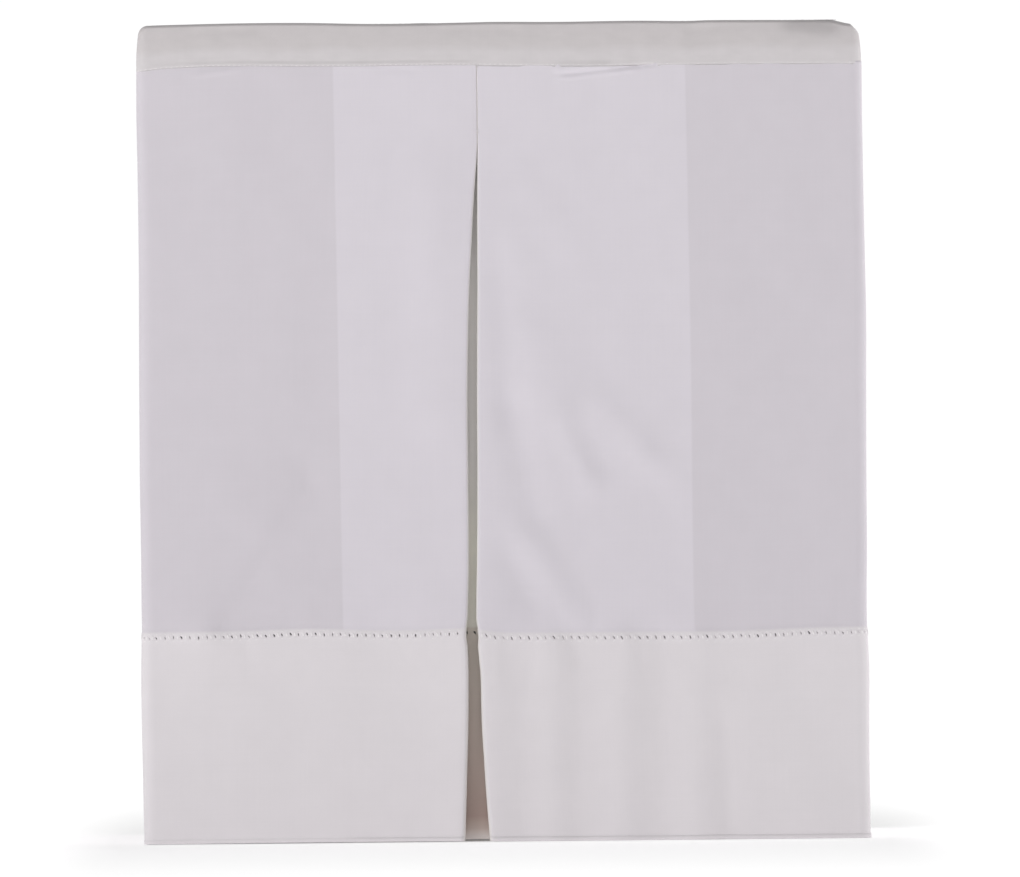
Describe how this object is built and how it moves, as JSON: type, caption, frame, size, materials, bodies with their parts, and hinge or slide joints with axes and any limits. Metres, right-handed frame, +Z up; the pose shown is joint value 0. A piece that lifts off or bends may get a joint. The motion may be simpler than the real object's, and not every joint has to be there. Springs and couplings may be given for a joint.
{
  "type": "bed skirt on a bed base block",
  "caption": "Tailored bed skirt with an inverted pleat and a deep hemstitched hem, falling from a band round the top edge of a plain bed base block.",
  "frame": {"origin": "on the floor, under the middle of the whole thing", "axes": "+Z up from the floor to the deck, -Y out of the front face with the pleat, +X to the right as one faces it"},
  "size_m": [0.3634, 0.2102, 0.4088],
  "materials": {
    "face_cloth": "matt plain-woven cotton, pale grey white",
    "deck_cloth": "matt plain lining cloth, off white",
    "block_cover": "matt upholstery cloth, pale grey"
  },
  "bodies": {
    "root": {"base_block": "block_cover", "deck": "deck_cloth", "top_band": "face_cloth", "drop": "face_cloth"}
  },
  "joints": []
}
